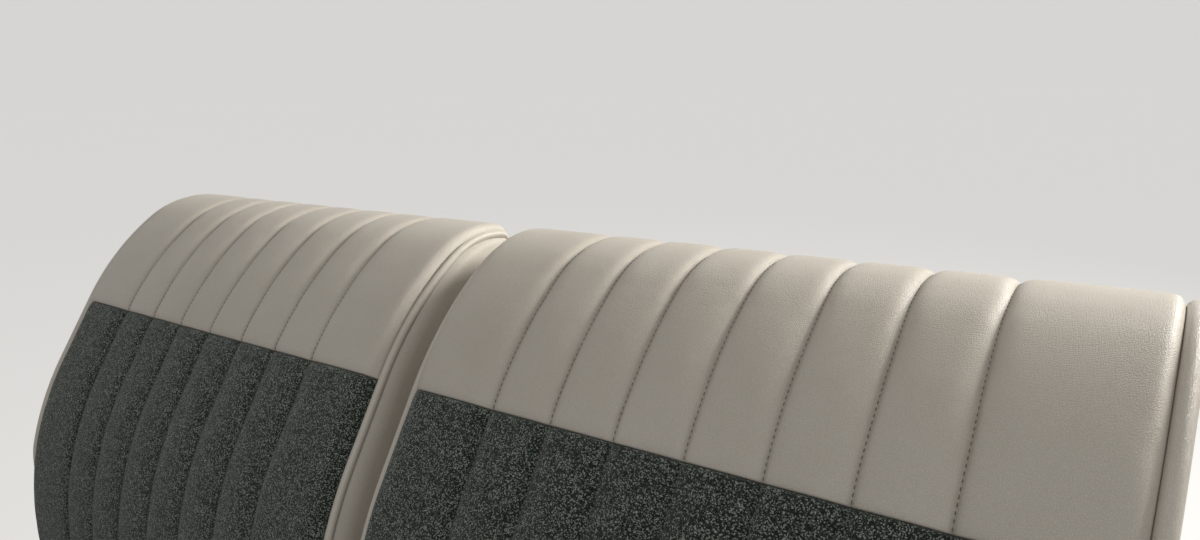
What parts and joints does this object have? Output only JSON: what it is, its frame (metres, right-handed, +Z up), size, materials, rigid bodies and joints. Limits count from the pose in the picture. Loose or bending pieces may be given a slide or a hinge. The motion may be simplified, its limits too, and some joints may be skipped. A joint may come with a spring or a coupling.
{
  "type": "car front bench seat with split folding backs",
  "caption": "Car front bench seat: one sprung cushion on slide rails and two pleated vinyl and tweed backs that fold forward on side hinges.",
  "frame": {"origin": "centre of the four floor bolt holes, on the floor", "axes": "+X to the side of the driver, which is the left of the car, +Y to the rear, +Z up; the seat faces -Y"},
  "size_m": [1.2266, 0.8556, 0.8513],
  "materials": {
    "cream_vinyl": "grained cream vinyl with a soft satin sheen",
    "green_tweed": "coarse flat weave, dark green and charcoal with pale flecks",
    "painted_steel": "satin black stoved enamel",
    "rail_steel": "plain rolled steel, lightly greased",
    "spring_steel": "dark oiled spring wire",
    "bright_steel": "polished plated steel",
    "buffer_rubber": "black moulded rubber"
  },
  "bodies": {
    "floor_rails": {"latch_strip": "rail_steel", "rail_left": "rail_steel", "rail_right": "rail_steel", "riser_front_left": "painted_steel", "riser_front_right": "painted_steel", "riser_rear_left": "painted_steel", "riser_rear_right": "painted_steel"},
    "bench": {"adjuster_lever": "bright_steel", "cushion_base": "cream_vinyl", "cushion_insert_left": "green_tweed", "cushion_insert_right": "green_tweed", "frame_beam_left": "painted_steel", "frame_beam_right": "painted_steel", "frame_tube_front": "painted_steel", "frame_tube_rear": "painted_steel", "frame_tube_side_left": "painted_steel", "frame_tube_side_right": "painted_steel", "front_valance": "painted_steel", "hinge_bracket_centre": "painted_steel", "hinge_bracket_left": "painted_steel", "hinge_bracket_right": "painted_steel", "lever_clips": "painted_steel", "rear_crossmember": "painted_steel", "runner_left": "rail_steel", "runner_right": "rail_steel", "side_valance_left": "painted_steel", "side_valance_right": "painted_steel", "stop_buffers": "buffer_rubber", "zigzag_springs": "spring_steel"},
    "back_left": {"back_core_left": "cream_vinyl", "hinge_arm_inner_left": "painted_steel", "hinge_arm_outer_left": "painted_steel", "lower_pad_left": "green_tweed", "lower_tube_left": "painted_steel", "rear_board_left": "cream_vinyl", "upper_pad_left": "cream_vinyl"},
    "back_right": {"back_core_right": "cream_vinyl", "hinge_arm_inner_right": "painted_steel", "hinge_arm_outer_right": "painted_steel", "lower_pad_right": "green_tweed", "lower_tube_right": "painted_steel", "rear_board_right": "cream_vinyl", "upper_pad_right": "cream_vinyl"}
  },
  "joints": [
    {"name": "bench_slide", "type": "slide", "parent": "floor_rails", "child": "bench", "axis": [0, -1, 0], "range_m": [-0.07, 0.07]},
    {"name": "fold_left", "type": "hinge", "parent": "bench", "child": "back_left", "pos_m": [0.31, 0.225, 0.355], "axis": [1, 0, 0], "range_deg": [0, 55]},
    {"name": "fold_right", "type": "hinge", "parent": "bench", "child": "back_right", "pos_m": [-0.31, 0.225, 0.355], "axis": [1, 0, 0], "range_deg": [0, 55]}
  ]
}
